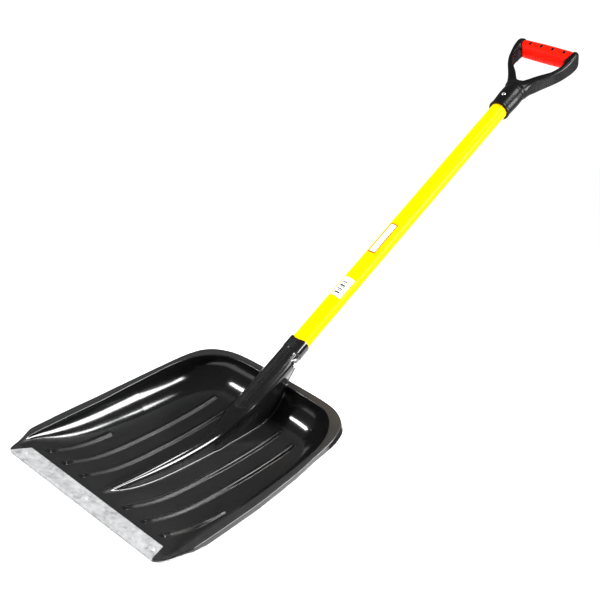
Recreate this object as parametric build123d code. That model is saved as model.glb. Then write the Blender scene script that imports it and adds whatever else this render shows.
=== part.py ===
from build123d import *
import math
import os

os.makedirs("parts", exist_ok=True)

# ---------------------------------------------------------------- driving dimensions (mm, degrees)
TIP_ANGLE = 4.3            # the pan is modelled with its front lip level, then tipped back to stand on lip and belly
WALL = 3.0                 # moulding thickness of the pan
RIM_SLOPE = 13.45          # slope of the rim, front to back
DRAFT = 12.0               # lean of the pan walls
FLOOR_FILLET = 25.0        # inner radius between floor and walls
FLANGE_T = 3.0             # thickness of the rim flange
LIP_DROP = 9.0             # height of the turned-down lip
LIP_T = 2.6
LIP_FLARE = 14.0
PAN_FRONT_HALF = 147.0     # half width of the pan at the front corners

STRIP_HALF_FRONT = 141.1   # wear strip, half length along its front edge
STRIP_HALF_BACK = 131.6
STRIP_DEPTH = 27.8
STRIP_UNDER = 20.0
STRIP_T = 0.8
RIVET_X = 127.3
RIVET_Y = 12.5
RIVET_HEAD_D = 9.6
RIVET_SHANK_D = 4.2

HANDLE_ANGLE = 40.95       # handle against the level front lip
AXIS_Y, AXIS_Z = 358.37, 95.0   # a point on the handle axis (station 0)
TUBE_D = 32.0
TUBE_WALL = 1.2
TUBE_FROM, TUBE_TO = -38.0, 772.0
SOCKET_R = 18.0
SOCKET_TO = 90.0
COLLAR_R = 18.9
COLLAR_LEN = 24.0
BORE_GAP = 0.0             # the tube is a push fit, modelled face to face

GRIP_FROM = 710.0
GRIP_SOCKET_R = 20.0
BAR_S = 893.0              # station of the hand bar axis
BAR_R = 17.5
CORE_R = 14.5
SLEEVE_HALF = 56.0
GRIP_HALF = 64.5

SCREW_HEAD_D = 8.0
SCREW_HEAD_H = 2.2
SCREW_SHANK_D = 3.9
SCREW_LEN = 12.0
BLADE_SCREW_S = 50.0
GRIP_SCREW_S = 735.0

# ---------------------------------------------------------------- helpers
rad = math.radians
UY, UZ = math.cos(rad(HANDLE_ANGLE)), math.sin(rad(HANDLE_ANGLE))
RIMP = Plane(origin=(0, 55, 11), x_dir=(1, 0, 0),
             z_dir=(0, -math.sin(rad(RIM_SLOPE)), math.cos(rad(RIM_SLOPE))))


def axis_plane(s):
    """Plane square to the handle at station s, its x across, its normal up the handle."""
    return Plane(origin=(0, AXIS_Y + UY * s, AXIS_Z + UZ * s), x_dir=(1, 0, 0), z_dir=(0, UY, UZ))


# plane of the hand grip: local x across, local y up the handle, normal out of the upper face
GRIP_PLANE = Plane(origin=(0, AXIS_Y, AXIS_Z), x_dir=(1, 0, 0), z_dir=(0, -UZ, UY))


def round_bar(s0, s1, r):
    return axis_plane(s0) * Cylinder(r, s1 - s0, align=(Align.CENTER, Align.CENTER, Align.MIN))


def shift(points, d):
    out = []
    for i, (x, y) in enumerate(points):
        x0, y0 = points[max(i - 1, 0)]
        x1, y1 = points[min(i + 1, len(points) - 1)]
        tx, ty = x1 - x0, y1 - y0
        n = math.hypot(tx, ty)
        out.append((x + ty / n * d, y - tx / n * d))
    return out


def outline(points):
    full = points + [(0, points[-1][1] + 0.2)] + [(-x, y) for x, y in reversed(points)]
    with BuildSketch() as s:
        with BuildLine():
            Spline(*full)
            Line(full[-1], full[0])
        make_face()
    return s.sketch.faces()[0]


def ring_body(points, grow, z0, z1, lean):
    k = math.tan(rad(lean))
    low = RIMP * (Pos(0, 0, z0) * outline(shift(points, grow + z0 * k)))
    high = RIMP * (Pos(0, 0, z1) * outline(shift(points, grow + z1 * k)))
    return loft([low.faces()[0], high.faces()[0]], ruled=True)


def side_region(curve, close, half=240):
    """Solid across the whole width, bounded by a side curve and the closing points."""
    with BuildSketch(Plane.YZ) as s:
        with BuildLine():
            Spline(*curve)
            Polyline(curve[-1], *close, curve[0])
        make_face()
    return extrude(s.sketch, amount=half, both=True)


def one(shape):
    """The single biggest solid of a result."""
    return max(shape.solids(), key=lambda q: q.volume)


# ---------------------------------------------------------------- pan
# inner edge of the flange, in the rim plane (x half width, distance up the rim)
INNER = [(151.0, -95), (151.8, -20), (152.6, 60), (153.4, 130), (153.2, 190), (150.6, 243), (145.6, 275),
         (138.2, 297.4), (127.7, 315.8), (113.5, 331), (97, 341), (75, 345), (40, 346.3)]
# outer edge of the flange
OUTER = [(163.0, -95), (163.4, -40), (164.3, 0), (165.2, 50), (165.1, 110), (164.0, 157), (162.0, 206), (159.3, 240),
         (156.0, 277), (151.5, 302), (144.6, 322), (133.6, 338), (120.0, 350), (104.0, 358), (80, 362.4), (40, 364.0)]
# inner floor line, (distance from the front edge, height)
FLOOR = [(-150, -0.8), (-75, -0.8), (0, -0.8), (40, -1.2), (70, -5.5), (100, -9.2), (130, -9.6), (160, -7.3),
         (190, -4), (230, 1.5), (286, 12), (321, 20), (350, 28.5), (400, 46), (440, 62)]
# top of the rim
RIM = [(-60, 0.0), (0, 0.0), (20, 0.4), (32, 3.6), (44, 8.4), (60, 12.0), (90, 18.2), (130, 26.0), (165, 33.0),
       (209, 43.5), (256, 55.4), (302, 68.0), (349, 81.0), (380, 88.4), (400, 91.6), (440, 96)]


def up(points, d):
    return [(y, z + d) for y, z in points]


inside = ring_body(INNER, 0, -75, 45, DRAFT) & side_region(FLOOR, [(440, 260), (-150, 260)])
outside = ring_body(INNER, WALL, -75, 45, DRAFT) & side_region(shift(FLOOR, WALL), [(440, 260), (-150, 260)])


def filleted(body, r):
    low = min(body.faces(), key=lambda f: f.center().Z)
    edges = [e for e in low.edges() if not (e.bounding_box().size.X > 250 and e.bounding_box().size.Y < 9)]
    return body.fillet(r, edges)


inside = filleted(inside, FLOOR_FILLET)
outside = filleted(outside, FLOOR_FILLET + WALL)
below_rim = side_region(RIM, [(440, -80), (-60, -80)])
behind_front = Pos(0, 300, 0) * Box(500, 600 - 2 * STRIP_T, 600)
pan = one((outside - inside) & below_rim & behind_front)

# front corner outline, seen from above
corner = [(0, 0.8), (PAN_FRONT_HALF - 5, 0.8), (PAN_FRONT_HALF, 4.5), (151, 12.5), (154, 21), (157.2, 30), (160.2, 37),
          (163.4, 46), (165, 70), (170, 120), (170, 430), (0, 430)]
full = corner + [(-x, y) for x, y in reversed(corner[1:-1])]
plan = extrude(Pos(0, 0, -60) * make_face(Polyline(*full, close=True)), amount=260)

flange = (ring_body(OUTER, 0, -60, 60, 0) - ring_body(INNER, -1.2, -75, 70, DRAFT)) \
    & side_region(RIM, [(440, -80), (-60, -80)]) & side_region(up(RIM, -FLANGE_T), [(440, 260), (-60, 260)])
flange = flange & plan
lip = ring_body(OUTER, 0, -40, 20, -LIP_FLARE) - ring_body(OUTER, -LIP_T, -45, 25, -LIP_FLARE)
lip_bottom = [(y, z - (LIP_DROP if y > 75 else max(FLANGE_T, FLANGE_T + (LIP_DROP - FLANGE_T) * (y - 20) / 55)))
              for y, z in RIM]
lip = lip & below_rim & side_region(lip_bottom, [(440, 260), (-60, 260)]) & plan
apron = extrude(Pos(0, 0, -0.8 - WALL) * make_face(Polyline(
    (-PAN_FRONT_HALF + 5, 0.8), (PAN_FRONT_HALF - 5, 0.8), (PAN_FRONT_HALF, 4.5), (151, 12.5), (154, 21), (155, 26),
    (120, 40), (-120, 40), (-155, 26), (-154, 21), (-151, 12.5), (-PAN_FRONT_HALF, 4.5), close=True)), amount=WALL)
corner_fill = (plan & below_rim & side_region(shift(FLOOR, WALL), [(440, 260), (-150, 260)])
               & (Pos(0, 24.4, 0) * Box(400, 47.2, 100))) - inside
pan = pan + flange + lip + apron + corner_fill


# floor ribs: rounded beads following the floor
def floor_z(y):
    for (y0, z0), (y1, z1) in zip(FLOOR, FLOOR[1:]):
        if y0 <= y <= y1:
            return z0 + (z1 - z0) * (y - y0) / (y1 - y0)
    return 0.0


RIBS = [((43.5, 44.0), (49.3, 356.0)), ((79.8, 44.0), (84.2, 346.0)), ((114.4, 44.0), (117.3, 160.0))]
for (xa, ya), (xb, yb) in RIBS:
    n = 9 if yb > 200 else 5
    for side in (1, -1):
        pts = []
        for i in range(n):
            t = i / (n - 1)
            y = ya + (yb - ya) * t
            pts.append((side * (xa + (xb - xa) * t), y, floor_z(y) + 0.2))
        path = Spline(*pts)
        start = Plane(origin=pts[0], z_dir=path % 0)
        bead = sweep(start * Circle(3.0), path=path)
        bead += Pos(*pts[0]) * Sphere(3.0)
        bead += Pos(*pts[-1]) * Sphere(3.0)
        pan = pan + bead

# spine: a ridge that grows out of the floor and carries the handle socket
SPINE = [  # y, half width at foot, half width near the crest, crest height
    (43.0, 2.2, 1.2, -0.2), (80.0, 6.2, 3.6, 0.6), (116.0, 8.4, 4.6, 4.8), (150.0, 10.0, 5.2, 9.4),
    (190.0, 11.2, 5.8, 16.2), (230.0, 12.2, 7.0, 25.0), (262.0, 13.2, 8.6, 35.5), (300.0, 14.4, 11.0, 46.0),
    (340.0, 15.4, 12.5, 60.0), (388.0, 16.0, 13.0, 84.0)]
sections = []
for y, wf, wc, zc in SPINE:
    zf = floor_z(y) - 2.0
    with BuildSketch(Plane(origin=(0, y, 0), x_dir=(1, 0, 0), z_dir=(0, -1, 0))) as s:
        with BuildLine():
            zt = zc - wc * 0.55
            zt = max(zt, zf + 1.0)
            Line((-wf, zf), (wf, zf))
            Line((wf, zf), (wc, zt))
            ThreePointArc((wc, zt), (0, zc), (-wc, zt))
            Line((-wc, zt), (-wf, zf))
        make_face()
    sections.append(s.sketch.faces()[0])
spine = loft(sections)
spine = spine & (Pos(0, 200, 100) * Box(60, 384, 260))

socket = round_bar(-52, SOCKET_TO - COLLAR_LEN, SOCKET_R) + round_bar(SOCKET_TO - COLLAR_LEN, SOCKET_TO, COLLAR_R)
nose = loft([(axis_plane(-118) * (Pos(0, -1.5, 0) * Ellipse(9.0, 12.0))).faces()[0],
             (axis_plane(-85) * Ellipse(14.5, 17.0)).faces()[0],
             (axis_plane(-52) * Circle(SOCKET_R)).faces()[0]])
# web between the socket and the back rim
web = extrude(Plane.YZ * make_face(Polyline((330, 40), (392, 60), (411, 90), (411, 93), (432, 132), (400, 135), (340, 85),
                                            close=True)), amount=9, both=True)
web = web & (Pos(0, 370, 80) * Box(60, 120, 120))
boss = Plane(origin=(0, AXIS_Y + UY * BLADE_SCREW_S, AXIS_Z + UZ * BLADE_SCREW_S), x_dir=(0, UY, UZ),
             z_dir=(1, 0, 0)) * Cylinder(6.0, 19.2, align=(Align.CENTER, Align.CENTER, Align.MIN))
pan = pan + spine + nose + socket + web + boss
pan = pan - round_bar(TUBE_FROM, SOCKET_TO + 5, TUBE_D / 2 + BORE_GAP)
# nothing of the spine or its web stands out below the pan
under = side_region(shift(FLOOR, WALL), [(440, -200), (-150, -200)])
pan = pan - under

# ---------------------------------------------------------------- wear strip and rivets
plate = make_face(Polyline((-STRIP_HALF_FRONT, 0), (STRIP_HALF_FRONT, 0), (STRIP_HALF_BACK, STRIP_DEPTH),
                           (-STRIP_HALF_BACK, STRIP_DEPTH), close=True))
top_leaf = extrude(Pos(0, 0, -STRIP_T) * plate, amount=STRIP_T)
STRIP_LOW = -0.8 - WALL - STRIP_T
low_leaf = extrude(Pos(0, 0, STRIP_LOW) * make_face(Polyline(
    (-STRIP_HALF_FRONT, 0), (STRIP_HALF_FRONT, 0), (STRIP_HALF_BACK + 2, STRIP_UNDER),
    (-STRIP_HALF_BACK - 2, STRIP_UNDER), close=True)), amount=STRIP_T)
nose_fold = Pos(0, STRIP_T / 2, STRIP_LOW / 2) * Box(2 * STRIP_HALF_FRONT, STRIP_T, -STRIP_LOW)
strip = top_leaf + low_leaf + nose_fold
pan = pan - strip
front_edges = [e for e in strip.edges() if e.bounding_box().max.Y < 0.01 and e.bounding_box().size.X > 200]
try:
    strip = strip.fillet(0.7, front_edges)
except Exception:
    pass
for i in (1, 2, 4, 5):
    x = -RIVET_X + 2 * RIVET_X * i / 6
    strip -= Pos(x, RIVET_Y + 2, 0.6) * Sphere(1.1)
rivets = []
for x in (-RIVET_X, 0, RIVET_X):
    hole = Pos(x, RIVET_Y, -3) * Cylinder(RIVET_SHANK_D / 2, 12)
    strip -= hole
    pan -= hole
    dome = Pos(x, RIVET_Y, -8.2) * Sphere(10.0)
    head = dome & (Pos(x, RIVET_Y, 0) * Cylinder(RIVET_HEAD_D / 2, 4, align=(Align.CENTER, Align.CENTER, Align.MIN)))
    shank = Pos(x, RIVET_Y, STRIP_LOW) * Cylinder(RIVET_SHANK_D / 2, -STRIP_LOW,
                                                  align=(Align.CENTER, Align.CENTER, Align.MIN))
    rivets.append(one(head + shank))
pan = one(pan)
strip = one(strip)
rivets = Compound(children=rivets)

# ---------------------------------------------------------------- handle tube
tube = round_bar(TUBE_FROM, TUBE_TO, TUBE_D / 2) - round_bar(TUBE_FROM - 1, TUBE_TO + 1, TUBE_D / 2 - TUBE_WALL)

# ---------------------------------------------------------------- hand grip
HOLE = [(0, 786.5), (5.5, 789.5), (12.7, 799), (21.0, 811), (31.7, 823.5), (41.0, 834.5), (47.2, 847), (51.0, 861),
        (51.8, 878)]
with BuildSketch(GRIP_PLANE) as s:
    with BuildLine():
        hole_pts = [(-x, y) for x, y in reversed(HOLE[1:])] + HOLE
        Spline(*hole_pts)
        Polyline(HOLE[-1], (51.8, 960), (-51.8, 960), (-51.8, 878))
    make_face()
gap_body = extrude(s.sketch, amount=30, both=True)
# each arm runs through rounded sections: centre across, centre up the handle, direction, thickness, half depth
ARM = [(13.5, 784.0, 0.54, 0.84, 21.0, 16.4), (25.2, 804.0, 0.51, 0.86, 15.7, 14.8), (35.6, 818.2, 0.51, 0.86, 12.6, 14.3),
       (45.9, 833.3, 0.454, 0.891, 10.8, 14.3), (53.0, 849.5, 0.312, 0.95, 10.4, 15.0),
       (56.9, 867.0, 0.17, 0.985, 11.0, 16.8), (58.2, 886.0, 0.0, 1.0, 12.6, 18.4)]


def arm_section(x, y, tx, ty, thick, deep):
    o = GRIP_PLANE.from_local_coords((x, y, 0))
    along = GRIP_PLANE.from_local_coords((x + tx, y + ty, 0)) - o
    across = GRIP_PLANE.from_local_coords((x + ty, y - tx, 0)) - o
    return (Plane(origin=o, x_dir=across, z_dir=along) * RectangleRounded(thick, 2 * deep, 4.6)).faces()[0]


arm = loft([arm_section(*row) for row in ARM])
end_cap = Plane(origin=(51.8, AXIS_Y + UY * BAR_S, AXIS_Z + UZ * BAR_S), x_dir=(0, UY, UZ),
                z_dir=(1, 0, 0)) * Cylinder(BAR_R + 1.2, GRIP_HALF - 51.8,
                                            align=(Align.CENTER, Align.CENTER, Align.MIN))
end_cap = end_cap.fillet(4.5, [e for e in end_cap.edges().filter_by(GeomType.CIRCLE)
                               if abs(e.center().X - GRIP_HALF) < 0.1])
arm = arm + end_cap
swell = loft([(axis_plane(738) * RectangleRounded(41.0, 40.4, 19.9)).faces()[0],
              (axis_plane(762) * RectangleRounded(42.0, 38.4, 17.0)).faces()[0],
              (axis_plane(777) * RectangleRounded(45.0, 35.0, 12.0)).faces()[0],
              (axis_plane(789) * RectangleRounded(49.0, 32.0, 8.0)).faces()[0]])
yoke = arm + mirror(arm, about=Plane.YZ) + swell - gap_body
grip_socket = round_bar(GRIP_FROM, 768, GRIP_SOCKET_R) + round_bar(GRIP_FROM, GRIP_FROM + 4, GRIP_SOCKET_R + 0.9)
bar_axis = Plane(origin=(0, AXIS_Y + UY * BAR_S, AXIS_Z + UZ * BAR_S), x_dir=(0, UY, UZ), z_dir=(1, 0, 0))
core = bar_axis * Cylinder(CORE_R, 2 * (GRIP_HALF - 4))
yoke = yoke + grip_socket + core
yoke = yoke - round_bar(GRIP_FROM - 5, TUBE_TO, TUBE_D / 2)

sleeve = bar_axis * Cylinder(BAR_R, 2 * SLEEVE_HALF) - bar_axis * Cylinder(CORE_R, 2 * SLEEVE_HALF + 4)
sleeve = sleeve - yoke
# windows in the sleeve, filled by studs of the core, in one row along the upper face of the bar
NUB_DIR = -14.0
nub_plane = bar_axis
nubs = []
for i, x in enumerate((-36.0, -12.0, 12.0, 36.0)):
    hole = bar_axis * (Rot(0, 0, 90 + NUB_DIR) * (Pos(0, 0, x) * (Rot(0, 90, 0) * extrude(
        Pos(0, 0, 0) * Ellipse(1.9, 3.4), amount=BAR_R + 3))))
    nubs.append(hole)
for x in (-48.0, -24.0, 0.0, 24.0, 48.0):
    hole = bar_axis * (Rot(0, 0, 90 + NUB_DIR) * (Pos(0, 0, x) * (Rot(0, 90, 0) * extrude(
        Pos(0, 0, 0) * Circle(1.0), amount=BAR_R + 3))))
    nubs.append(hole)
shell_out = bar_axis * Cylinder(BAR_R, 2 * SLEEVE_HALF)
for hole in nubs:
    stud = hole & shell_out
    sleeve = sleeve - hole
    yoke = yoke + stud
sleeve = one(sleeve)
yoke = one(yoke)

# ---------------------------------------------------------------- screws (blade socket, grip socket)
screws = []


def screw_at(seat_plane):
    head = seat_plane * (Cylinder(SCREW_HEAD_D / 2, SCREW_HEAD_H, align=(Align.CENTER, Align.CENTER, Align.MIN)))
    head = head.fillet(0.9, [e for e in head.edges().filter_by(GeomType.CIRCLE)
                             if (seat_plane.to_local_coords(e.arc_center)).Z > 1.0])
    recess = seat_plane * (Pos(0, 0, SCREW_HEAD_H - 1.0) * (
        Box(4.2, 1.0, 3, align=(Align.CENTER, Align.CENTER, Align.MIN))
        + Box(1.0, 4.2, 3, align=(Align.CENTER, Align.CENTER, Align.MIN))))
    shank = seat_plane * Cylinder(SCREW_SHANK_D / 2, SCREW_LEN, align=(Align.CENTER, Align.CENTER, Align.MAX))
    return one(head - recess + shank)


blade_seat = Plane(origin=(19.2, AXIS_Y + UY * BLADE_SCREW_S, AXIS_Z + UZ * BLADE_SCREW_S),
                   x_dir=(0, UY, UZ), z_dir=(1, 0, 0))
GRIP_SCREW_TURN = -10.0    # turned a little to the left of the upper face
gx, gn = math.sin(rad(GRIP_SCREW_TURN)), math.cos(rad(GRIP_SCREW_TURN))
GRIP_SEAT = 19.3
grip_dir = (gx, -UZ * gn, UY * gn)
grip_seat = Plane(origin=(gx * GRIP_SEAT, AXIS_Y + UY * GRIP_SCREW_S - UZ * gn * GRIP_SEAT,
                          AXIS_Z + UZ * GRIP_SCREW_S + UY * gn * GRIP_SEAT), x_dir=(0, UY, UZ), z_dir=grip_dir)
yoke = yoke - grip_seat * Cylinder(SCREW_HEAD_D / 2 + 0.4, 6, align=(Align.CENTER, Align.CENTER, Align.MIN))
for seat in (blade_seat, grip_seat):
    screws.append(screw_at(seat))
    drill = seat * Cylinder(SCREW_SHANK_D / 2, SCREW_LEN + 1, align=(Align.CENTER, Align.CENTER, Align.MAX))
    tube = tube - drill
    if seat is blade_seat:
        pan = pan - drill
    else:
        yoke = yoke - drill
screws = Compound(children=screws)

# ---------------------------------------------------------------- labels, thin film on the tube


def film(s0, s1, a0, a1, r0, r1):
    mid, span = (a0 + a1) / 2, (a1 - a0)
    band = round_bar(s0, s1, r1) - round_bar(s0 - 1, s1 + 1, r0)
    wedge = axis_plane(s0) * make_face(Polyline(
        (0, 0), *[(60 * math.sin(rad(a0 + span * i / 4)), -60 * math.cos(rad(a0 + span * i / 4))) for i in range(5)],
        close=True))
    wedge = extrude(wedge, amount=s1 - s0, dir=(0, UY, UZ))
    return one(band & wedge)


product_label = film(293.0, 366.0, -28, 24, TUBE_D / 2, TUBE_D / 2 + 0.25)
code_label = film(187.5, 230.0, -28, 42, TUBE_D / 2, TUBE_D / 2 + 0.25)

# ---------------------------------------------------------------- place and write
nodes = {
    "blade_pan": one(pan), "wear_strip": strip, "strip_rivets": rivets, "handle_tube": one(tube),
    "handle_screws": screws, "grip_yoke": one(yoke), "grip_sleeve": sleeve,
    "product_label": product_label, "code_label": code_label,
}
tipped = {k: Rot(TIP_ANGLE, 0, 0) * v for k, v in nodes.items()}
boxes = [v.bounding_box() for v in tipped.values()]
y0, y1 = min(b.min.Y for b in boxes), max(b.max.Y for b in boxes)
z0 = min(b.min.Z for b in boxes)
print("offset", -(y0 + y1) / 2, -z0, "size", y1 - y0, max(b.max.Z for b in boxes) - z0)
for name, shape in tipped.items():
    moved = Pos(0, -(y0 + y1) / 2, -z0) * shape
    export_step(moved, f"parts/{name}.step")
    b = moved.bounding_box()
    print(name, len(moved.solids()), round(moved.volume), moved.is_valid,
          [round(v, 1) for v in (b.min.X, b.max.X, b.min.Y, b.max.Y, b.min.Z, b.max.Z)])
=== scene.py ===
import math

import bpy
import numpy as np
from mathutils import Matrix, Vector


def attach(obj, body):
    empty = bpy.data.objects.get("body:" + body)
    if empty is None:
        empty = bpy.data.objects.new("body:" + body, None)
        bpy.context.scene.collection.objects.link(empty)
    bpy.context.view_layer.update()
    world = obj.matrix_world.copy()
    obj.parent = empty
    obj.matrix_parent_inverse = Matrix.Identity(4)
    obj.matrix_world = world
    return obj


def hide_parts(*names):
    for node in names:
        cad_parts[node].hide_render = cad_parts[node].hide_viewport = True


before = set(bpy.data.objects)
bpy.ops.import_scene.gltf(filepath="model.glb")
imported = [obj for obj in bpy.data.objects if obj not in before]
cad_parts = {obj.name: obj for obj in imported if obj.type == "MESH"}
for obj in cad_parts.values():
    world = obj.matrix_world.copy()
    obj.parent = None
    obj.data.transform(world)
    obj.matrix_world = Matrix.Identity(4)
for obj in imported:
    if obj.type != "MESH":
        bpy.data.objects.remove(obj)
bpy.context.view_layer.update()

# ------------------------------------------------------------------ the level frame the pan is laid out in
# millimetres: x across, y back from the front lip, z up from the top of the wear strip
TIP = math.radians(4.3)
DY, DZ = -498.8369604971602, 4.677128467046793
CT, ST = math.cos(TIP), math.sin(TIP)
UY, UZ = math.cos(math.radians(40.95)), math.sin(math.radians(40.95))
AY, AZ = 358.37, 95.0


def to_row(p):
    """Level-frame millimetres to row-frame metres."""
    p = np.asarray(p, float)
    out = np.empty_like(p)
    out[..., 0] = p[..., 0]
    out[..., 1] = p[..., 1] * CT - p[..., 2] * ST + DY
    out[..., 2] = p[..., 1] * ST + p[..., 2] * CT + DZ
    return out / 1000.0


def turn(v):
    v = np.asarray(v, float)
    out = np.empty_like(v)
    out[..., 0] = v[..., 0]
    out[..., 1] = v[..., 1] * CT - v[..., 2] * ST
    out[..., 2] = v[..., 1] * ST + v[..., 2] * CT
    return out


def handle_to_level(x, s, n):
    """Handle coordinates (across, up the handle, out of its upper face) to the level frame."""
    return np.stack([x, AY + UY * s - UZ * n, AZ + UZ * s + UY * n], axis=-1)


# ------------------------------------------------------------------ small field helpers
def cmax(a, b, r):
    """Larger of two distances, its inner corner rounded with radius r."""
    m = np.maximum(a, b)
    u, v = np.maximum(a + r, 0.0), np.maximum(b + r, 0.0)
    return np.minimum(m, -r) + np.sqrt(u * u + v * v)


def cmin(a, b, r):
    return -cmax(-a, -b, r)


def sstep(a, b, t):
    t = np.clip((t - a) / (b - a), 0.0, 1.0)
    return t * t * (3 - 2 * t)


def pchip(xs, ys):
    """Smooth monotone-ish curve through points, as a fast table lookup."""
    xs, ys = np.asarray(xs, float), np.asarray(ys, float)
    m = np.gradient(ys, xs)
    t = np.linspace(xs[0], xs[-1], 4001)
    i = np.clip(np.searchsorted(xs, t) - 1, 0, len(xs) - 2)
    h = xs[i + 1] - xs[i]
    u = (t - xs[i]) / h
    y = ((2 * u ** 3 - 3 * u ** 2 + 1) * ys[i] + (u ** 3 - 2 * u ** 2 + u) * h * m[i]
         + (-2 * u ** 3 + 3 * u ** 2) * ys[i + 1] + (u ** 3 - u ** 2) * h * m[i + 1])
    k = np.hanning(61)
    k /= k.sum()
    pad = np.r_[y[0] - (y[30:0:-1] - y[0]), y, y[-1] - (y[-2:-32:-1] - y[-1])]
    y = np.convolve(pad, k, "valid")
    return lambda q: np.interp(q, t, y)


def poly_distance(poly, xs, ys):
    """Signed distance table (inside negative) from a closed polygon, on the grid xs by ys."""
    X, Y = np.meshgrid(xs, ys, indexing="ij")
    best = np.full(X.shape, 1e9)
    inside = np.zeros(X.shape, bool)
    n = len(poly)
    for i in range(n):
        ax, ay = poly[i]
        bx, by = poly[(i + 1) % n]
        ex, ey = bx - ax, by - ay
        L = ex * ex + ey * ey
        if L < 1e-12:
            continue
        t = np.clip(((X - ax) * ex + (Y - ay) * ey) / L, 0, 1)
        d = (X - ax - t * ex) ** 2 + (Y - ay - t * ey) ** 2
        best = np.minimum(best, d)
        if ay != by:
            hit = ((ay > Y) != (by > Y)) & (X < (bx - ax) * (Y - ay) / (by - ay) + ax)
            inside ^= hit
    return np.where(inside, -1.0, 1.0) * np.sqrt(best)


def table(tab, x0, dx, y0, dy):
    nx, ny = tab.shape

    def look(x, y):
        fx = np.clip((x - x0) / dx, 0, nx - 1.001)
        fy = np.clip((y - y0) / dy, 0, ny - 1.001)
        i, j = fx.astype(np.int64), fy.astype(np.int64)
        u, v = fx - i, fy - j
        return ((tab[i, j] * (1 - u) + tab[i + 1, j] * u) * (1 - v)
                + (tab[i, j + 1] * (1 - u) + tab[i + 1, j + 1] * u) * v)

    return look


def smooth_line(points, step=2.0):
    """Dense Catmull-Rom line through points."""
    P = np.asarray(points, float)
    P = np.vstack([2 * P[0] - P[1], P, 2 * P[-1] - P[-2]])
    out = []
    for i in range(1, len(P) - 2):
        n = max(2, int(np.linalg.norm(P[i + 1] - P[i]) / step))
        t = np.linspace(0, 1, n, endpoint=False)[:, None]
        out.append(0.5 * ((2 * P[i]) + (P[i + 1] - P[i - 1]) * t
                          + (2 * P[i - 1] - 5 * P[i] + 4 * P[i + 1] - P[i + 2]) * t ** 2
                          + (3 * P[i] - P[i - 1] - 3 * P[i + 1] + P[i + 2]) * t ** 3))
    out.append(P[-2][None])
    return np.vstack(out)


def skin(field, lo, hi, step, project=3, h=0.05):
    """Closed quad mesh of field = 0 inside the box, with vertices pulled on to the surface, and its normals."""
    ax = [np.arange(lo[k] - step * 1.5, hi[k] + step * 2.5, step) for k in range(3)]
    F = np.empty([len(a) for a in ax], np.float32)
    Y, Z = np.meshgrid(ax[1], ax[2], indexing="ij")
    for i, x in enumerate(ax[0]):
        F[i] = field(np.full_like(Y, x), Y, Z)
    neg = F < 0
    # a cell has a vertex where its eight corners differ
    c = neg[:-1, :-1, :-1].astype(np.int8)
    tot = c.copy()
    for dx, dy, dz in ((1, 0, 0), (0, 1, 0), (1, 1, 0), (0, 0, 1), (1, 0, 1), (0, 1, 1), (1, 1, 1)):
        tot += neg[dx:neg.shape[0] - 1 + dx, dy:neg.shape[1] - 1 + dy, dz:neg.shape[2] - 1 + dz]
    cell = (tot > 0) & (tot < 8)
    idx = np.full(cell.shape, -1, np.int64)
    ci = np.argwhere(cell)
    idx[cell] = np.arange(len(ci))
    acc = np.zeros((len(ci), 3))
    cnt = np.zeros(len(ci))
    corners = [(a, b, d) for a in (0, 1) for b in (0, 1) for d in (0, 1)]
    val = {k: F[ci[:, 0] + k[0], ci[:, 1] + k[1], ci[:, 2] + k[2]].astype(float) for k in corners}
    for k in corners:
        for d in range(3):
            if k[d] == 0:
                k2 = list(k)
                k2[d] = 1
                a, b = val[k], val[tuple(k2)]
                cross = (a < 0) != (b < 0)
                t = np.where(cross, a / np.where(cross, a - b, 1.0), 0.0)
                for q in range(3):
                    base = float(k[q])
                    acc[:, q] += np.where(cross, base + (t if q == d else 0.0), 0.0)
                cnt += cross
    V = (ci + acc / cnt[:, None])
    V = np.stack([ax[k][0] + V[:, k] * step for k in range(3)], axis=1)
    faces = []
    for d in range(3):
        e = [1, 2], [0, 2], [0, 1]
        u, v = e[d]
        sl_a = [slice(None)] * 3
        sl_b = [slice(None)] * 3
        sl_a[d], sl_b[d] = slice(0, -1), slice(1, None)
        a, b = neg[tuple(sl_a)], neg[tuple(sl_b)]
        diff = a != b
        # keep edges with four cells round them
        for w in (u, v):
            m = [slice(None)] * 3
            m[w] = slice(0, 1)
            diff[tuple(m)] = False
            m[w] = slice(-1, None)
            diff[tuple(m)] = False
        q = np.argwhere(diff)
        sign = a[diff]
        o = np.zeros((4, 3), int)
        o[1][u] = o[2][u] = -1
        o[2][v] = o[3][v] = -1
        quad = np.stack([idx[tuple((q + o[k]).T)] for k in range(4)], axis=1)
        flip = sign if d != 1 else ~sign
        quad = np.where(flip[:, None], quad, quad[:, ::-1])
        faces.append(quad)
    Q = np.vstack(faces)
    Q = Q[(Q >= 0).all(axis=1)]
    def grad(P):
        g = np.stack([field(P[:, 0] + h, P[:, 1], P[:, 2]) - field(P[:, 0] - h, P[:, 1], P[:, 2]),
                      field(P[:, 0], P[:, 1] + h, P[:, 2]) - field(P[:, 0], P[:, 1] - h, P[:, 2]),
                      field(P[:, 0], P[:, 1], P[:, 2] + h) - field(P[:, 0], P[:, 1], P[:, 2] - h)], axis=1) / (2 * h)
        return g

    for _ in range(project):
        f = field(V[:, 0], V[:, 1], V[:, 2])
        g = grad(V)
        s = (f / np.maximum((g * g).sum(1), 0.15))[:, None] * g
        L = np.linalg.norm(s, axis=1, keepdims=True)
        s *= np.minimum(1.0, 0.5 * step / np.maximum(L, 1e-9))
        V = V - s
    g = grad(V)
    N = g / np.maximum(np.linalg.norm(g, axis=1, keepdims=True), 1e-9)
    return V, Q, N


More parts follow.
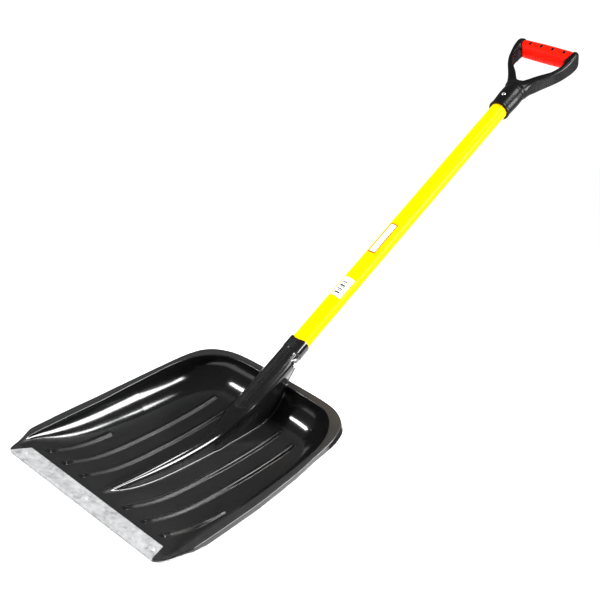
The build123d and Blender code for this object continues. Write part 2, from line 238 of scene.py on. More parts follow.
def make_mesh(name, V, Q, N=None, body="root", attrs=None):
    """Level-frame millimetres to a smooth-shaded object in the row frame."""
    me = bpy.data.meshes.new(name)
    P = to_row(V)
    me.vertices.add(len(P))
    me.vertices.foreach_set("co", P.astype(np.float32).ravel())
    me.loops.add(Q.size)
    me.loops.foreach_set("vertex_index", Q.astype(np.int32).ravel())
    me.polygons.add(len(Q))
    k = Q.shape[1]
    me.polygons.foreach_set("loop_start", np.arange(0, Q.size, k, dtype=np.int32))
    me.update(calc_edges=True)
    me.validate()
    me.shade_smooth()
    for key, vals in (attrs or {}).items():
        at = me.attributes.new(key, "FLOAT", "POINT")
        at.data.foreach_set("value", np.asarray(vals, np.float32))
    if N is not None:
        me.normals_split_custom_set_from_vertices(turn(N).astype(np.float32))
    ob = bpy.data.objects.new(name, me)
    bpy.context.scene.collection.objects.link(ob)
    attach(ob, body)
    return ob


# ------------------------------------------------------------------ the pan as one moulded field
INNER = [(151.0, -95), (151.8, -20), (152.6, 60), (153.4, 130), (153.2, 190), (150.6, 243), (145.6, 275),
         (138.2, 297.4), (127.7, 315.8), (113.5, 331), (97, 341), (75, 345), (40, 346.3), (0, 346.6)]
OUTER = [(163.4, -10.5), (164.3, 0), (165.2, 50), (165.1, 110), (164.0, 157), (162.0, 206), (159.3, 240),
         (156.0, 277), (151.5, 302), (144.6, 322), (133.6, 338), (120.0, 350), (104.0, 358), (80, 362.4), (40, 364.0),
         (0, 364.3)]
RS = math.radians(13.45)
RC, RSN = math.cos(RS), math.sin(RS)


def rim_coords(y, z):
    return (y - 55) * RC + (z - 11) * RSN, -(y - 55) * RSN + (z - 11) * RC


floor_h = pchip([-60, -20, 20, 40, 55, 75, 100, 130, 160, 190, 230, 286, 321, 350, 400, 460],
                [-0.5, -0.5, -0.5, -0.9, -3.0, -6.6, -9.4, -9.8, -7.6, -4, 1.5, 12, 20, 28.5, 46, 70])
rim_h = pchip([-60, 0, 14, 24, 34, 44, 56, 73, 90, 107, 130, 165, 209, 256, 302, 326, 349, 369, 384, 400, 412, 470],
              [0.0, 0.0, 0.2, 1.6, 5.0, 8.4, 11.2, 14.6, 18.2, 21.6, 26.2, 33.0, 43.6, 55.2, 68.0, 74.6, 81.0, 86.4, 89.6,
               91.6, 93.2, 100])
gx = np.arange(-190, 190.1, 1.0)
gy = np.arange(-120, 400.1, 1.0)
_in = smooth_line(INNER)
_in = np.vstack([_in, (_in * [-1, 1])[::-1][1:]])
_in = np.vstack([_in, [[-151, -400], [151, -400]]])
_tin = poly_distance(_in, gx, gy)
inner_sd = table(_tin, gx[0], 1.0, gy[0], 1.0)
# outer outline: corner part given in the level frame, rear part in the rim plane; both as plain views from above
_o = smooth_line(OUTER)
_oy = _o[:, 1] * RC + 55 - RSN * 0.0
_top = np.stack([_o[:, 0], _oy], axis=1)
_corner = smooth_line([(142, 0.8), (147, 4.2), (151, 12.5), (154, 21), (157.2, 30), (160.4, 38), (163.4, 46)], 1.0)
_half = np.vstack([_corner, _top[_top[:, 1] > 48]])
_full = np.vstack([_half, (_half * [-1, 1])[::-1]])
gy2 = np.arange(-40, 470.1, 1.0)
outer_sd = table(poly_distance(_full, gx, gy2), gx[0], 1.0, gy2[0], 1.0)

T = 3.0
FILLET = 25.0
TAN, COSD = math.tan(math.radians(12)), math.cos(math.radians(12))
RIBS = [((43.5, 45.0), (49.3, 358.0)), ((79.8, 45.0), (84.2, 349.0)), ((114.4, 45.0), (117.3, 160.0))]

crest_h = pchip([30, 43, 55, 80, 116, 144, 173, 212, 240, 256, 270, 284, 300, 340, 420],
                [-5.5, 0.6, 0.9, 2.7, 6.4, 10.2, 14.6, 21.6, 28.6, 34.4, 42.0, 53.0, 66.0, 98.0, 160.0])
crest_w = pchip([30, 43, 80, 120, 170, 212, 240, 262, 290, 330, 420], [1.2, 2.6, 4.0, 5.0, 5.8, 6.6, 8.2, 10.5, 13.0, 14.5, 14.5])
foot_w = pchip([30, 43, 60, 100, 166, 230, 290, 330, 370, 420], [3.2, 4.4, 6.0, 8.0, 10.6, 11.8, 13.2, 15.0, 17.0, 18.0])


def rib_height(x, y):
    ax = np.abs(x)
    h = np.zeros_like(x)
    for (xa, ya), (xb, yb) in RIBS:
        ex, ey = xb - xa, yb - ya
        L = math.hypot(ex, ey)
        t = np.clip(((ax - xa) * ex + (y - ya) * ey) / (L * L), 0, 1)
        d = np.hypot(ax - xa - t * ex, y - ya - t * ey)
        k = 3.4 * (1 - sstep(0.6, 6.2, d))
        h = np.maximum(h, k)
    return h


def fillet_at(y):
    return np.clip(0.86 * (rim_h(y) - floor_h(y)), 6.0, 41.0)


def cavity(x, y, z):
    yp, zp = rim_coords(y, z)
    wall = (inner_sd(x, yp) - zp * TAN) * COSD
    slope = 0.985
    flo = (floor_h(y) + rib_height(x, y) - z) * slope
    return cmax(flo, wall, fillet_at(y))


def cavity_plain(x, y, z):
    yp, zp = rim_coords(y, z)
    wall = (inner_sd(x, yp) - zp * TAN) * COSD
    flo = (floor_h(y) - z) * 0.985
    return cmax(flo, wall, fillet_at(y))


def socket_field(x, y, z):
    s = (y - AY) * UY + (z - AZ) * UZ
    n = -(y - AY) * UZ + (z - AZ) * UY
    rr = np.hypot(x, n)
    th = np.arctan2(x, n)
    rad = np.full_like(x, 18.0)
    # long faint ridges along the socket
    for c in (-0.62, 0.05, 0.72):
        rad = rad + 0.75 * np.exp(-((th - c) / 0.085) ** 2) * sstep(66.0, 58.0, s) * sstep(-95, -60, s)
    rad = rad + 0.9 * sstep(64.5, 66.5, s) * (1 - sstep(88.2, 90.5, s) * 0.6)
    rad = rad - 9.0 * sstep(-48.0, -132.0, s)
    d = rr - rad
    d = cmax(d, s - 90.0, 1.0)
    return cmax(d, -s - 132.0, 3.0), s, rr


def pan_field(x, y, z):
    C = cavity(x, y, z)
    P = cavity_plain(x, y, z)
    rim = rim_h(y)
    up = (z - rim) * 0.972
    # outer outline, leaning out below the rim as the turned-down lip does
    yp, zp = rim_coords(y, z)
    flare = 0.10 + 0.55 * sstep(285, 372, y)
    out = (outer_sd(x, y) - flare * np.maximum(rim - z, 0)) * 0.93
    U = cmax(up, out, 1.6)
    S = cmax(U, -C, 1.2)
    H = np.maximum(U + 2.6, T - P)
    drop = 3.2 + 6.0 * sstep(24, 78, y)
    H = np.minimum(H, np.maximum(z - (rim - drop), T - P))
    body = cmax(S, -H, 0.5)
    body = np.maximum(body, 0.8 - y)
    # spine
    zc, wc, wf = crest_h(y), crest_w(y), foot_w(y)
    fl = floor_h(y)
    k = np.clip((zc - z) / np.maximum(zc - fl, 3.0), -0.3, 1.3)
    side = (np.abs(x) - (wc + (wf - wc) * k)) * 0.97
    topf = (z - zc) * np.interp(y, [0, 230, 262, 290, 400], [0.98, 0.96, 0.85, 0.76, 0.76])
    spine = cmax(side, topf, 2.0 + 7.5 * sstep(50, 190, y))
    spine = np.maximum(spine, fl - 1.5 - z)
    spine = np.maximum(spine, y - 396.0)
    spine = np.maximum(spine, z - (rim + 40))
    sock, s, rr = socket_field(x, y, z)
    n = -(y - AY) * UZ + (z - AZ) * UY
    # higher up the round socket takes over
    spine = cmax(spine, n - 4.0 - 13 * sstep(-35, -85, s) - 400 * sstep(-82, -150, s) ** 2, 4.0)
    whole = cmin(spine, sock, 9.0)
    # gusset between socket and rear rim
    g1 = np.abs(x) - (7.5 + 2.0 * sstep(150, 90, z))
    g2 = np.maximum(s - 62.0, n - 2.0)
    g3 = -(y - 372.0)
    g4 = (y - 410.0) * 0.85 + (z - 92.0) * -0.45
    gus = cmax(cmax(g1, g4, 1.5), np.maximum(g2, g3), 1.0)
    gus = np.maximum(gus, rim - 6 - z)
    whole = cmin(whole, gus, 3.5)
    whole = np.maximum(whole, -(z - fl + 1.5))
    # keep spine and socket out of the space below the pan
    whole = np.maximum(whole, P - 1.5 - 60 * sstep(0, 6, z - rim + 3.0) * 1.0)
    body = cmin(body, whole, 2.6)
    # screw boss on the right of the socket
    bs = np.hypot(s - 50.0, n)
    boss = np.maximum(cmax(bs - 6.2, x - 19.2, 0.8), 12 - x)
    body = cmin(body, boss, 1.5)
    # bore for the tube
    bore = np.maximum(rr - 15.2 - 0.85 * sstep(76.0, 80.0, s), -38.0 - s)
    body = cmax(body, -bore, 0.35)
    # the strip lies in a shallow seat, folded round the lip
    edge = 141.1 - (141.1 - 131.6) / 27.8 * y
    seat_top = np.maximum(np.maximum(np.abs(x) - edge, y - 27.8), -0.8 - z)
    seat_low = np.maximum(np.maximum(np.abs(x) - edge, y - 20.0), z + 3.8)
    body = np.maximum(body, -np.minimum(seat_top, seat_low))
    return body


V, Q, N = skin(pan_field, (-172, -1, -16), (172, 438, 162), 1.3)
rimv = rim_h(V[:, 1])
fin_top = sstep(-2.0, -0.3, V[:, 2] - rimv) * sstep(0.6, 0.9, N[:, 2])
Cv = cavity_plain(V[:, 0], V[:, 1], V[:, 2])
dz = V[:, 2] - floor_h(V[:, 1])
onfloor = (dz > -1.0) & (N[:, 2] > 0.5) & (V[:, 1] > 20) & (np.abs(inner_sd(V[:, 0], V[:, 1])) < 400)
grain = np.where(onfloor, sstep(5.6, 3.2, dz), 0.0) * sstep(0.72, 0.86, N[:, 2])
onrib = (rib_height(V[:, 0], V[:, 1]) > 0.25) & (N[:, 2] > 0.3) & (V[:, 2] < floor_h(V[:, 1]) + 6) & (V[:, 1] > 20)
shine = np.where(V[:, 0] > 0, sstep(170, 230, V[:, 1]), 0.0) + sstep(62, 50, V[:, 1])
grain = np.where(onrib, 0.55 * (1 - np.clip(shine, 0, 1)), grain)
pan = make_mesh("pan_moulding", V, Q, N, attrs={"grain": grain, "flange": fin_top})
print("pan", len(V), len(Q))
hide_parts("blade_pan")


# ------------------------------------------------------------------ the hand grip, in handle coordinates
BAR_S = 893.0
SEAT = 19.3
G_OUT = [(21.0, 752), (22.4, 770), (24.6, 784), (32.0, 800), (41.0, 815), (50.5, 831), (57.8, 848), (62.0, 866),
         (64.2, 882), (64.5, 893), (63.6, 901), (60.2, 907.5), (54.5, 911.4)]
G_HOLE = [(0, 786.8), (5.5, 789.5), (12.7, 799), (21.0, 811), (31.7, 823.5), (41.0, 834.5), (47.2, 847), (50.6, 858),
          (51.2, 865), (49.6, 871.5), (45.2, 875.6)]
_gx = np.arange(-76, 76.1, 0.5)
_gs = np.arange(740, 926.1, 0.5)
_go = smooth_line(G_OUT, 1.5)
_go = np.vstack([_go, (_go * [-1, 1])[::-1]])
grip_out = table(poly_distance(_go, _gx, _gs), _gx[0], 0.5, _gs[0], 0.5)
_gh = np.vstack([smooth_line(G_HOLE, 1.5), [(45.4, 879), (49.4, 883.5), (51.3, 888.5), (51.7, 896), (51.7, 960)]])
_gh = np.vstack([_gh, (_gh * [-1, 1])[::-1]])
grip_hole = table(poly_distance(_gh, _gx, _gs), _gx[0], 0.5, _gs[0], 0.5)


def half_depth(s):
    return np.interp(s, [740, 760, 775, 788, 800, 815, 830, 845, 855, 866, 876, 893],
                     [20.0, 19.2, 17.2, 15.6, 14.9, 14.4, 14.3, 14.7, 15.3, 16.5, 17.9, 18.6])


def grip_field(x, s, n):
    an = np.abs(n)
    hd = half_depth(s)
    bar = np.hypot(s - BAR_S, n)
    # round over the bar at the top, and drawn in to the bar between the arms
    ring = np.sqrt(np.maximum(18.6 ** 2 - (s - BAR_S) ** 2, 0.0))
    w = sstep(49.6, 53.0, np.abs(x))
    lim = np.where(s > BAR_S, 30.0, hd * w + (1 - w) * np.maximum(np.where(s > 874.5, ring * 0.985, 0.0),
                                                                   hd * sstep(884, 868, s)))
    cut = np.where(s > BAR_S, bar - 18.6, an - lim)
    r_edge = 5.4 + 8.0 * sstep(800, 770, s)
    arms = cmax(cmax(grip_out(x, s), cut, r_edge), -grip_hole(x, s), 3.0)
    arms = cmax(arms, 768.0 - s, 7.0)
    # a shallow channel with a rib along the inside of each arm
    chan = cmax(grip_hole(x, s) - 1.3 + 1.1 * np.exp(-(n / 1.8) ** 2), an - (hd - 5.5), 2.0)
    chan = cmax(chan, np.maximum(806 - s, s - 864), 4.0)
    arms = cmax(arms, -chan, 1.0)
    rr = np.hypot(x, n)
    rad = np.interp(s, [700, 714.5, 716.5, 745, 760, 775, 790], [21.0, 21.0, 20.0, 21.6, 21.4, 19.6, 15.0])
    sock = cmax(cmax(rr - rad, 710.0 - s, 0.9), s - 790.0, 6.0)
    sock = cmax(sock, -grip_hole(x, s), 3.0)
    body = cmin(arms, sock, 4.5)
    body = cmax(body, -grip_hole(x, s), 2.0)
    core = np.maximum(bar - 12.5, np.abs(x) - 56.0)
    body = np.minimum(body, core)
    body = cmax(body, -np.maximum(rr - 16.05, s - 762.0), 0.4)
    t = x * math.sin(math.radians(-10)) + n * math.cos(math.radians(-10))
    w = x * math.cos(math.radians(-10)) - n * math.sin(math.radians(-10))
    seat = np.maximum(np.hypot(s - 735.0, w) - 5.2, SEAT - t)
    return cmax(body, -seat, 0.3)


def sleeve_field(x, s, n):
    bar = np.hypot(s - BAR_S, n)
    rad = 17.75 - 0.9 * (x / 52.0) ** 2 + 0.22 * np.cos(x / 24.0 * 2 * math.pi) * 0.0
    d = cmax(bar - rad, grip_hole(x, s) + 0.3, 1.3)
    d = np.maximum(d, 12.6 - bar)
    return np.maximum(d, 874.6 - s)


def handle_mesh(name, field, lo, hi, step, body="root"):
    V, Q, N = skin(field, lo, hi, step, 3, 0.55)
    L = handle_to_level(V[:, 0], V[:, 1], V[:, 2])
    M = np.stack([N[:, 0], UY * N[:, 1] - UZ * N[:, 2], UZ * N[:, 1] + UY * N[:, 2]], axis=1)
    # handle axes are a right-handed set, so the faces keep their direction
    return make_mesh(name, L, Q, M, body)


GSTEP = 0.85
grip = handle_mesh("grip_moulding", grip_field, (-66, 708, -22), (66, 914, 22), GSTEP)
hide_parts("grip_yoke")
sleeve = handle_mesh("grip_cover", sleeve_field, (-53, 873, -19), (53, 913, 19), GSTEP)
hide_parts("grip_sleeve")


def studs(name, marks):
    """Low domed studs on the bar: marks are (x, half width along the bar, half length round it)."""
    V, F = [], []
    a0 = math.radians(91.0)
    rings, seg = 5, 28
    for x0, hw, hl in marks:
        base = len(V)
        V.append((x0, a0, 17.75 - 0.9 * (x0 / 52.0) ** 2 + 0.34))
        for i in range(1, rings + 2):
            q = min(1.0, i / rings)
            lift = 0.34 * math.sqrt(max(0.0, 1 - (q * 0.98) ** 2)) if i <= rings else -1.0
            for j in range(seg):
                t = 2 * math.pi * j / seg
                xx = x0 + hw * q * math.cos(t)
                r = 17.75 - 0.9 * (xx / 52.0) ** 2
                V.append((xx, a0 + hl * q * math.sin(t) / r, r + lift))
        for j in range(seg):
            F.append((base, base + 1 + j, base + 1 + (j + 1) % seg))
        for i in range(rings):
            a, b = base + 1 + i * seg, base + 1 + (i + 1) * seg
            for j in range(seg):
                k = (j + 1) % seg
                F.append((a + j, b + j, b + k))
                F.append((a + j, b + k, a + k))
        last = base + 1 + rings * seg
        c = len(V)
        V.append((x0, a0, 16.4))
        for j in range(seg):
            F.append((c, last + (j + 1) % seg, last + j))
    V = np.array(V)
    L = handle_to_level(V[:, 0], BAR_S + V[:, 2] * np.cos(V[:, 1]), V[:, 2] * np.sin(V[:, 1]))
    return make_mesh(name, L, np.array(F)[:, ::-1])


stud = studs("grip_studs", [(x, 3.2, 5.2) for x in (-35.0, -11.0, 13.0, 37.0)]
             + [(x, 1.5, 1.5) for x in (-47.0, -23.0, 1.0, 25.0, 48.5)])

# ------------------------------------------------------------------ materials
def new_mat(name):
    m = bpy.data.materials.new(name)
    m.use_nodes = True
    nt = m.node_tree
    bs = nt.nodes["Principled BSDF"]
    return m, nt, bs


def link(nt, a, ao, b, bi):
    nt.links.new(a.outputs[ao], b.inputs[bi])


def noise(nt, scale, detail=3.0, rough=0.5, coords="Object", dist=0.0):
    tc = nt.nodes.new("ShaderNodeTexCoord")
    n = nt.nodes.new("ShaderNodeTexNoise")
    n.inputs["Scale"].default_value = scale
    n.inputs["Detail"].default_value = detail
    n.inputs["Roughness"].default_value = rough
    n.inputs["Distortion"].default_value = dist
    link(nt, tc, coords, n, "Vector")
    return n


def ramp(nt, src, out, stops):
    r = nt.nodes.new("ShaderNodeValToRGB")
    while len(r.color_ramp.elements) < len(stops):
        r.color_ramp.elements.new(0.5)
    for e, (p, c) in zip(r.color_ramp.elements, stops):
        e.position = p
        e.color = c if len(c) == 4 else (*c, 1)
    link(nt, src, out, r, "Fac")
    return r


def bump(nt, bs, src, out, strength, distance):
    b = nt.nodes.new("ShaderNodeBump")
    b.inputs["Strength"].default_value = strength
    b.inputs["Distance"].default_value = distance
    link(nt, src, out, b, "Height")
    nt.links.new(b.outputs["Normal"], bs.inputs["Normal"])
    return b


def maprange(nt, src, out, a, b, c, d):
    m = nt.nodes.new("ShaderNodeMapRange")
    m.inputs["From Min"].default_value = a
    m.inputs["From Max"].default_value = b
    m.inputs["To Min"].default_value = c
    m.inputs["To Max"].default_value = d
    link(nt, src, out, m, "Value")
    return m


def mat_pan():
    m, nt, bs = new_mat("pan_plastic")
    ag = nt.nodes.new("ShaderNodeAttribute"); ag.attribute_name = "grain"
    af = nt.nodes.new("ShaderNodeAttribute"); af.attribute_name = "flange"
    mx = nt.nodes.new("ShaderNodeMath"); mx.operation = "MAXIMUM"
    link(nt, ag, "Fac", mx, 0); link(nt, af, "Fac", mx, 1)
    fine = noise(nt, 620, 4.0, 0.75)
    broad = noise(nt, 24, 3.0, 0.55)
    # roughness: glossy walls, matt grained floor and rim
    r1 = maprange(nt, mx, "Value", 0, 1, 0.12, 0.5)
    r2 = maprange(nt, broad, "Fac", 0.3, 0.7, -0.02, 0.02)
    r3 = maprange(nt, fine, "Fac", 0.35, 0.65, -0.16, 0.16)
    r4 = nt.nodes.new("ShaderNodeMath"); r4.operation = "MULTIPLY"
    link(nt, r3, "Result", r4, 0); link(nt, mx, "Value", r4, 1)
    r5 = nt.nodes.new("ShaderNodeMath"); r5.operation = "ADD"
    link(nt, r2, "Result", r5, 0); link(nt, r4, "Value", r5, 1)
    ad = nt.nodes.new("ShaderNodeMath"); ad.operation = "ADD"
    link(nt, r1, "Result", ad, 0); link(nt, r5, "Value", ad, 1)
    link(nt, ad, "Value", bs, "Roughness")
    col = nt.nodes.new("ShaderNodeMix"); col.data_type = "RGBA"
    col.inputs["A"].default_value = (0.0036, 0.0036, 0.0038, 1)
    col.inputs["B"].default_value = (0.0095, 0.0095, 0.0098, 1)
    link(nt, af, "Fac", col, "Factor")
    sp = ramp(nt, fine, "Fac", [(0.38, (0.25, 0.25, 0.25)), (0.64, (2.4, 2.4, 2.4))])
    mul = nt.nodes.new("ShaderNodeMix"); mul.data_type = "RGBA"; mul.blend_type = "MULTIPLY"
    mul.inputs["Factor"].default_value = 1.0
    link(nt, col, "Result", mul, "A"); link(nt, sp, "Color", mul, "B")
    link(nt, mul, "Result", bs, "Base Color")
    bs.inputs["IOR"].default_value = 1.49
    bs.inputs["Specular IOR Level"].default_value = 0.37
    b = bump(nt, bs, fine, "Fac", 0.2, 0.0004)
    st = maprange(nt, mx, "Value", 0.55, 1, 0.0, 0.6)
    link(nt, st, "Result", b, "Strength")
    return m


pan.data.materials.clear()
pan.data.materials.append(mat_pan())


def simple(name, color, rough, metal=0.0, nscale=300, namp=0.06, cvar=0.06, bumpd=0.0, coat=0.0, spec=0.5):
    m, nt, bs = new_mat(name)
    n = noise(nt, nscale, 3.0, 0.55)
    r = maprange(nt, n, "Fac", 0.3, 0.7, max(0.02, rough - namp), rough + namp)
    link(nt, r, "Result", bs, "Roughness")
    b = noise(nt, nscale * 0.11, 3.0, 0.5)
    lo = tuple(c * (1 - cvar) for c in color)
    hi = tuple(min(1, c * (1 + cvar)) for c in color)
    cr = ramp(nt, b, "Fac", [(0.3, lo), (0.7, hi)])
    link(nt, cr, "Color", bs, "Base Color")
    bs.inputs["Metallic"].default_value = metal
    bs.inputs["Coat Weight"].default_value = coat
    bs.inputs["Specular IOR Level"].default_value = spec
    bs.inputs["Coat Roughness"].default_value = 0.04
    if bumpd:
        bump(nt, bs, b, "Fac", 0.4, bumpd)
    return m


# handle coordinates in a material: station up the handle and distance across, in millimetres
U_ROW = turn((0.0, UY, UZ))
O_ROW = to_row((0.0, AY, AZ)) * 1000.0


def along(nt):
    tc = nt.nodes.new("ShaderNodeTexCoord")
    d = nt.nodes.new("ShaderNodeVectorMath"); d.operation = "DOT_PRODUCT"
    d.inputs[1].default_value = tuple(float(c) * 1000.0 for c in U_ROW)
    link(nt, tc, "Object", d, 0)
    m = nt.nodes.new("ShaderNodeMath"); m.operation = "SUBTRACT"
    link(nt, d, "Value", m, 0)
    m.inputs[1].default_value = float(np.dot(O_ROW, U_ROW))
    x = nt.nodes.new("ShaderNodeSeparateXYZ")
    link(nt, tc, "Object", x, "Vector")
    k = nt.nodes.new("ShaderNodeMath"); k.operation = "MULTIPLY"
    link(nt, x, "X", k, 0)
    k.inputs[1].default_value = 1000.0
    return m, k


def band(nt, src, centre, half):
    """1 within half of centre, else 0."""
    a = nt.nodes.new("ShaderNodeMath"); a.operation = "SUBTRACT"
    link(nt, src, "Value", a, 0); a.inputs[1].default_value = centre
    b = nt.nodes.new("ShaderNodeMath"); b.operation = "ABSOLUTE"
    link(nt, a, "Value", b, 0)
    c = nt.nodes.new("ShaderNodeMath"); c.operation = "LESS_THAN"
    link(nt, b, "Value", c, 0); c.inputs[1].default_value = half
    return c


def both(nt, a, b, op="MULTIPLY"):
    m = nt.nodes.new("ShaderNodeMath"); m.operation = op
    link(nt, a, "Value", m, 0); link(nt, b, "Value", m, 1)
    return m


def blend_color(nt, fac, a, b):
    """Colour a where fac is 0 and b where it is 1; either may be a colour or a node with a colour output."""
    m = nt.nodes.new("ShaderNodeMix"); m.data_type = "RGBA"
    link(nt, fac, "Value", m, "Factor")
    for key, c in (("A", a), ("B", b)):
        if isinstance(c, tuple):
            m.inputs[key].default_value = (*c, 1)
        else:
            nt.links.new(c, m.inputs[key])
    return m


def mat_product():
    m, nt, bs = new_mat("label_print")
    s_, x_ = along(nt)
    frame_in = both(nt, band(nt, s_, 329.5, 33.6), band(nt, x_, -0.5, 5.3))
    panel_in = both(nt, band(nt, s_, 337.0, 20.0), band(nt, x_, -1.6, 0.9))
    n = noise(nt, 900, 3.0, 0.6)
    paper = ramp(nt, n, "Fac", [(0.35, (0.90, 0.86, 0.78)), (0.65, (0.97, 0.94, 0.87))])
    c1 = blend_color(nt, frame_in, (0.80, 0.085, 0.004), paper.outputs["Color"])
    c2 = blend_color(nt, panel_in, c1.outputs["Result"], (0.90, 0.50, 0.25))
    link(nt, c2, "Result", bs, "Base Color")
    r = maprange(nt, n, "Fac", 0.3, 0.7, 0.4, 0.5)
    link(nt, r, "Result", bs, "Roughness")
    bs.inputs["Specular IOR Level"].default_value = 0.15
    return m


def mat_code():
    m, nt, bs = new_mat("label_paper")
    s_, x_ = along(nt)
    rows = None
    for c, h in ((195.0, 1.7), (200.0, 0.9), (203.2, 1.3), (207.6, 0.8), (211.0, 1.7), (215.4, 0.8), (219.0, 1.2)):
        q = band(nt, s_, c, h)
        rows = q if rows is None else both(nt, rows, q, "MAXIMUM")
    bars = both(nt, rows, band(nt, x_, 0.2, 5.2))
    n = noise(nt, 900, 3.0, 0.6)
    paper = ramp(nt, n, "Fac", [(0.35, (0.84, 0.84, 0.81)), (0.65, (0.92, 0.92, 0.90))])
    c1 = blend_color(nt, bars, paper.outputs["Color"], (0.03, 0.03, 0.028))
    link(nt, c1, "Result", bs, "Base Color")
    r = maprange(nt, n, "Fac", 0.3, 0.7, 0.42, 0.52)
    link(nt, r, "Result", bs, "Roughness")
    bs.inputs["Specular IOR Level"].default_value = 0.15
    return m


def mat_strip():
    """Galvanised sheet: soft spangle, a faint streaky mottle of painted shade standing in for shallow dents, and
    scuffs.
    """
    m, nt, bs = new_mat("strip_metal")
    tc = nt.nodes.new("ShaderNodeTexCoord")
    v = nt.nodes.new("ShaderNodeTexVoronoi")
    v.inputs["Scale"].default_value = 210
    v.inputs["Randomness"].default_value = 1.0
    link(nt, tc, "Object", v, "Vector")
    sep = nt.nodes.new("ShaderNodeSeparateColor")
    link(nt, v, "Color", sep, "Color")
    # colour mottle: painted shade standing in for shallow dents in the sheet
    dent_shade_mottle = noise(nt, 60, 5.0, 0.65, dist=0.8)
    scuff = noise(nt, 330, 4.0, 0.7)
    a = nt.nodes.new("ShaderNodeMath"); a.operation = "MULTIPLY_ADD"
    link(nt, sep, "Red", a, 0); a.inputs[1].default_value = 0.22
    link(nt, dent_shade_mottle, "Fac", a, 2)
    # grey tone from the real spangle cells plus the painted dent shade
    col = ramp(nt, a, "Value", [(0.34, (0.20, 0.202, 0.205)), (0.52, (0.32, 0.323, 0.327)), (0.8, (0.42, 0.423, 0.427))])
    link(nt, col, "Color", bs, "Base Color")
    r = maprange(nt, a, "Value", 0.35, 0.85, 0.42, 0.62)
    link(nt, r, "Result", bs, "Roughness")
    bs.inputs["Metallic"].default_value = 0.35
    bump(nt, bs, scuff, "Fac", 0.35, 0.00025)
    return m


MATS = {
    "wear_strip": mat_strip(),
    "strip_rivets": simple("rivet_metal", (0.78, 0.78, 0.79), 0.3, 0.7, 400, 0.06, 0.05, 0.00005),
    "handle_tube": simple("tube_lacquer", (0.86, 0.49, 0.0), 0.25, 0.0, 120, 0.02, 0.02, 0.0, 0.0, 0.02),
    "handle_screws": simple("screw_metal", (0.85, 0.85, 0.86), 0.22, 0.9, 900, 0.05, 0.05, 0.00003),
    "grip_yoke": simple("grip_plastic", (0.0032, 0.0032, 0.0034), 0.3, 0.0, 500, 0.04, 0.15, 0.0, 0.0, 0.1),
    "grip_sleeve": simple("sleeve_plastic", (0.88, 0.007, 0.001), 0.45, 0.0, 700, 0.04, 0.03, 0.0, 0.0, 0.05),
    "product_label": mat_product(),
    "code_label": mat_code(),
}
for ob, key in ((grip, "grip_yoke"), (stud, "grip_yoke"), (sleeve, "grip_sleeve")):
    ob.data.materials.clear()
    ob.data.materials.append(MATS[key])
for node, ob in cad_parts.items():
    if node in MATS:
        if not ob.material_slots:
            ob.data.materials.append(MATS[node])
        for slot in ob.material_slots:
            slot.material = MATS[node]

# ------------------------------------------------------------------ camera, as solved for the photograph
R = np.array([0.77049885, 0.58747295, 0.2474006])
Uu = np.array([-0.38294524, 0.11632281, 0.916418])
Fw = np.array([-0.50959245, 0.8008399, -0.31459657])
C = np.array([716.807, -733.997, 675.574])
r_, u_, f_ = turn(R), turn(Uu), turn(Fw)
f_ = f_ / np.linalg.norm(f_)
r_ = r_ - f_ * (r_ @ f_); r_ /= np.linalg.norm(r_)
u_ = np.cross(r_, f_)
cam_d = bpy.data.cameras.new("camera")
cam = bpy.data.objects.new("camera", cam_d)
bpy.context.scene.collection.objects.link(cam)
cp = to_row(C)
cam.matrix_world = Matrix(((r_[0], u_[0], -f_[0], cp[0]), (r_[1], u_[1], -f_[1], cp[1]),
                           (r_[2], u_[2], -f_[2], cp[2]), (0, 0, 0, 1)))
cam_d.sensor_width = 36.0
cam_d.lens = 901.324 / 600 * 36
cam_d.clip_start = 0.05
cam_d.clip_end = 100
bpy.context.scene.camera = cam

# ------------------------------------------------------------------ floor and studio light
me = bpy.data.meshes.new("floor")
me.from_pydata([(-30, -30, -0.0005), (30, -30, -0.0005), (30, 30, -0.0005), (-30, 30, -0.0005)], [], [(0, 1, 2, 3)])
floor = bpy.data.objects.new("floor", me)
bpy.context.scene.collection.objects.link(floor)
fm, nt, bs = new_mat("studio_floor")
bs.inputs["Base Color"].default_value = (0.9, 0.9, 0.9, 1)
bs.inputs["Roughness"].default_value = 0.9
bs.inputs["Specular IOR Level"].default_value = 0.0
me.materials.append(fm)

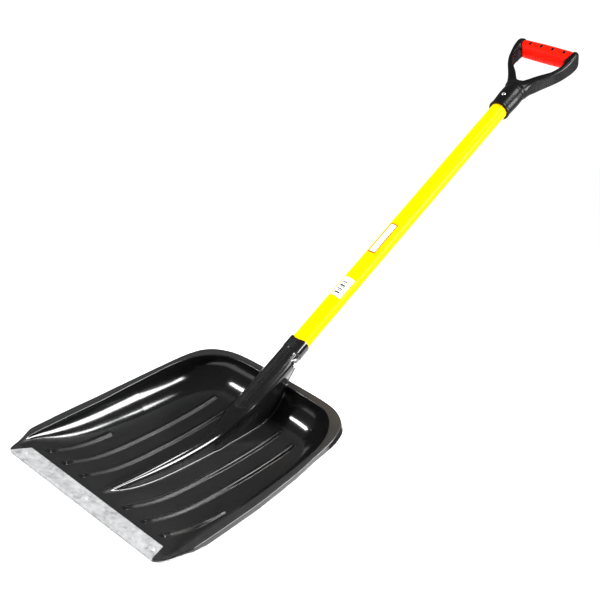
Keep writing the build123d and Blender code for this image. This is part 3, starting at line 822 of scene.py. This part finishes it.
world = bpy.data.worlds.new("studio")
bpy.context.scene.world = world
world.use_nodes = True
bg = world.node_tree.nodes["Background"]
bg.inputs["Color"].default_value = (1, 1, 1, 1)
bg.inputs["Strength"].default_value = 0.22
lp = world.node_tree.nodes.new("ShaderNodeLightPath")
bg2 = world.node_tree.nodes.new("ShaderNodeBackground")
bg2.inputs["Color"].default_value = (1, 1, 1, 1)
bg2.inputs["Strength"].default_value = 1.1
mixw = world.node_tree.nodes.new("ShaderNodeMixShader")
world.node_tree.links.new(lp.outputs["Is Camera Ray"], mixw.inputs["Fac"])
world.node_tree.links.new(bg.outputs["Background"], mixw.inputs[1])
world.node_tree.links.new(bg2.outputs["Background"], mixw.inputs[2])
world.node_tree.links.new(mixw.outputs["Shader"], world.node_tree.nodes["World Output"].inputs["Surface"])

sun_d = bpy.data.lights.new("soft_sun", "SUN")
sun_d.energy = 3.3
sun_d.angle = math.radians(36)
sun = bpy.data.objects.new("soft_sun", sun_d)
sun.visible_glossy = False
bpy.context.scene.collection.objects.link(sun)
sun.rotation_euler = Vector((0.38, 0.36, -0.85)).to_track_quat("-Z", "Y").to_euler()


def panel(name, target, direction, dist, w, h, power, spin=0.0):
    """Soft box that shines on target from the given level-frame direction."""
    t = to_row(target)
    d = turn(np.array(direction, float))
    d /= np.linalg.norm(d)
    ld = bpy.data.lights.new(name, "AREA")
    ld.shape = "RECTANGLE"
    ld.size, ld.size_y = w, h
    ld.energy = power
    lo = bpy.data.objects.new(name, ld)
    bpy.context.scene.collection.objects.link(lo)
    lo.location = Vector(t + d * dist)
    q = Vector(-d).to_track_quat("-Z", "Y")
    lo.rotation_euler = (q.to_matrix() @ Matrix.Rotation(spin, 3, "Z")).to_euler()
    return lo


panel("low", (0, 250, 20), (0.734, 0.459, 0.46), 2.2, 1.3, 0.62, 110)
panel("key", (60, 250, 0), (0.23, 0.47, 0.83), 1.6, 0.2, 0.32, 9)
panel("back_left", (0, 250, 0), (-0.54, -0.60, 0.64), 2.4, 0.5, 0.2, 40)

bpy.context.scene.view_settings.view_transform = "Standard"
bpy.context.scene.view_settings.look = "None"
bpy.context.scene.view_settings.exposure = 0.0
